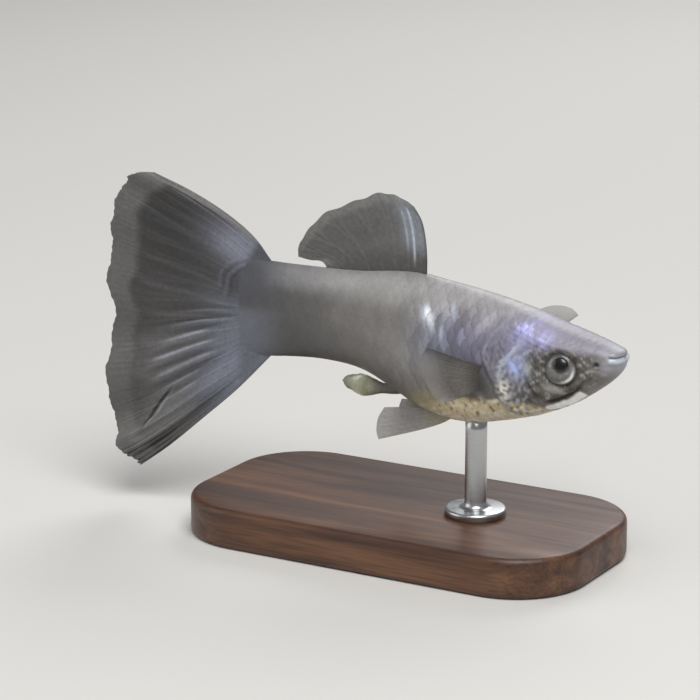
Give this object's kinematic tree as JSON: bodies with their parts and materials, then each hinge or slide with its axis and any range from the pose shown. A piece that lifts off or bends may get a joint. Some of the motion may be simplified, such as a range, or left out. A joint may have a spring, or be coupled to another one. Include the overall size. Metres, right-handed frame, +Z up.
{
  "type": "fancy guppy fish model on stand",
  "caption": "Life-size male fancy guppy with a fan tail, held level over a flat oblong base by one short rod.",
  "frame": {"origin": "middle of the base's underside", "axes": "+X towards the fish's head, +Y to the fish's left, +Z up; the fish's length runs along X"},
  "size_m": [0.0452, 0.018, 0.0276],
  "materials": {
    "skin": "wet scaled skin, satin",
    "eye": "clear wet gloss",
    "fin": "thin rayed membrane, satin",
    "gonopodium": "soft satin",
    "walnut": "oiled satin",
    "steel": "brushed"
  },
  "bodies": {
    "root": {"head": "skin", "trunk": "skin", "tail_stalk": "skin", "eye_right": "eye", "eye_left": "eye", "caudal_fin": "fin", "dorsal_fin": "fin", "pectoral_fin_right": "fin", "pectoral_fin_left": "fin", "pelvic_fin_right": "fin", "pelvic_fin_left": "fin", "gonopodium": "gonopodium", "stand_base": "walnut", "stand_rod": "steel"}
  },
  "joints": []
}
